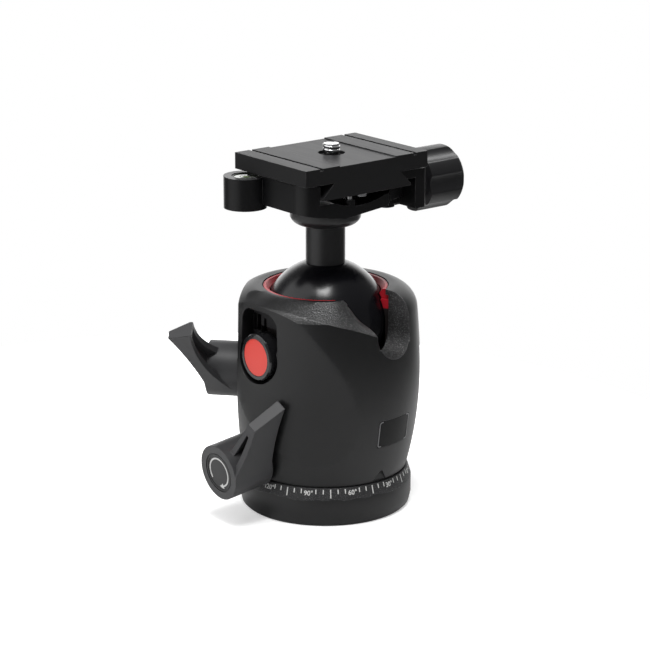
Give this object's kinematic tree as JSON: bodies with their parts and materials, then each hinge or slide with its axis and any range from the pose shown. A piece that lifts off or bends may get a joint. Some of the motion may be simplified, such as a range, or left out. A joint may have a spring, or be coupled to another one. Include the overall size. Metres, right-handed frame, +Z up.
{
  "type": "tripod ball head with quick-release clamp",
  "caption": "Ball head with portrait notch, levers for ball and panning locks, a selector button with a ring round the ball, and a screw clamp holding a dovetail plate.",
  "frame": {"origin": "centre of the underside, on the panning axis", "axes": "+Z up along the panning axis, +X towards the clamp knob, so the button and panning lever are on the -X side"},
  "size_m": [0.106, 0.07, 0.1273],
  "materials": {
    "body_paint": "fine satin black paint",
    "base_paint": "satin black paint",
    "ball_finish": "polished black",
    "neck_finish": "satin black",
    "clamp_finish": "satin black",
    "plate_finish": "anodised black",
    "lever_plastic": "fine matt texture",
    "knob_plastic": "fine matt texture",
    "button_plastic": "gloss black",
    "red_plastic": "gloss red",
    "gate_plastic": "matt black",
    "plaque_finish": "gloss black, bare",
    "steel": "zinc plated",
    "brass": "machined",
    "slip_plastic": "acetal",
    "vial_glass": "clear"
  },
  "bodies": {
    "base": {"base_disc": "base_paint", "thread_insert": "steel", "base_screws": "steel", "pan_spindle": "steel", "retaining_washer": "steel", "retaining_nut": "steel", "thrust_washer": "slip_plastic"},
    "body": {"housing": "body_paint", "blank_plaque": "plaque_finish", "gate_plate": "gate_plastic", "bearing_plate": "body_paint", "pan_bush": "brass", "lock_bush": "brass", "pan_lock_bush": "brass", "pad_screw": "steel", "cup_spring": "steel"},
    "button": {"selector_button": "button_plastic", "button_inlay": "red_plastic", "button_stem": "steel"},
    "ring": {"selector_ring": "red_plastic"},
    "cup": {"ball_cup": "slip_plastic"},
    "plunger": {"lock_plunger": "brass"},
    "ball_lever": {"ball_lock_lever": "lever_plastic", "ball_lock_shaft": "steel", "ball_lock_cap": "lever_plastic"},
    "shoe": {"pan_shoe": "brass"},
    "pan_lever": {"pan_lock_lever": "lever_plastic", "pan_lock_shaft": "steel", "pan_lock_cap": "lever_plastic"},
    "pad": {"friction_pad": "slip_plastic"},
    "ball": {"ball": "ball_finish"},
    "head": {"neck": "neck_finish", "clamp_body": "clamp_finish", "neck_bolt": "steel", "neck_screws": "steel", "catch_pin": "steel", "level_vial": "vial_glass"},
    "jaw": {"moving_jaw": "clamp_finish", "guide_pins": "steel"},
    "knob": {"clamp_knob": "knob_plastic", "clamp_screw": "steel"},
    "plate": {"quick_release_plate": "plate_finish", "plate_stop_screws": "steel"},
    "screw": {"camera_screw": "steel"}
  },
  "joints": [
    {"name": "pan", "type": "hinge", "parent": "base", "child": "body", "pos_m": [0, 0, 0.0141], "axis": [0, 0, 1], "continuous": true},
    {"name": "button_slide", "type": "slide", "parent": "body", "child": "button", "axis": [0, 0, 1], "range_m": [0, 0.007]},
    {"name": "ring_turn", "type": "hinge", "parent": "body", "child": "ring", "pos_m": [0, 0, 0.065], "axis": [0, 0, 1], "range_deg": [0, 15.01]},
    {"name": "ball_lock", "type": "hinge", "parent": "body", "child": "ball_lever", "pos_m": [-0.02178, 0.02479, 0.0458], "axis": [-0.66, 0.7513, 0], "range_deg": [-45.1, 0]},
    {"name": "plunger_slide", "type": "slide", "parent": "body", "child": "plunger", "axis": [0.66, -0.7513, 0], "range_m": [0, 0.00025]},
    {"name": "cup_lift", "type": "slide", "parent": "body", "child": "cup", "axis": [0, 0, 1], "range_m": [0, 0.00026]},
    {"name": "pan_lock", "type": "hinge", "parent": "body", "child": "pan_lever", "pos_m": [-0.03573, 0, 0.02081], "axis": [-0.9925, 0, -0.1219], "range_deg": [-60.1, 0]},
    {"name": "shoe_slide", "type": "slide", "parent": "body", "child": "shoe", "axis": [0.9925, 0, 0.1219], "range_m": [0, 0.000125]},
    {"name": "side_tilt", "type": "hinge", "parent": "body", "child": "pad", "pos_m": [0, 0, 0.0657], "axis": [0.1616, -0.9869, 0], "range_deg": [-30, 30]},
    {"name": "front_tilt", "type": "hinge", "parent": "pad", "child": "ball", "pos_m": [0, 0, 0.0657], "axis": [0.9869, 0.1616, 0], "range_deg": [-25, 90]},
    {"name": "spin", "type": "hinge", "parent": "ball", "child": "head", "pos_m": [0, 0, 0.0657], "axis": [0, 0, 1], "continuous": true},
    {"name": "knob_turn", "type": "hinge", "parent": "jaw", "child": "knob", "pos_m": [0.04, 0, 0.109], "axis": [1, 0, 0], "range_deg": [0, 720.2]},
    {"name": "jaw_slide", "type": "slide", "parent": "head", "child": "jaw", "axis": [1, 0, 0], "range_m": [0, 0.0025]},
    {"name": "plate_slide", "type": "slide", "parent": "head", "child": "plate", "axis": [0, 1, 0], "range_m": [-0.006, 0.006]},
    {"name": "camera_screw_turn", "type": "hinge", "parent": "plate", "child": "screw", "pos_m": [0.0017, -0.0011, 0.12], "axis": [0, 0, 1], "continuous": true}
  ],
  "couplings": [
    {"joint": "ring_turn", "follows": "button_slide", "rad_per_m": 37.4},
    {"joint": "ball_lock", "follows": "plunger_slide", "rad_per_m": -3141.6},
    {"joint": "cup_lift", "follows": "plunger_slide", "ratio": 1},
    {"joint": "pan_lock", "follows": "shoe_slide", "rad_per_m": -8377.6},
    {"joint": "knob_turn", "follows": "jaw_slide", "rad_per_m": 5026.5}
  ]
}
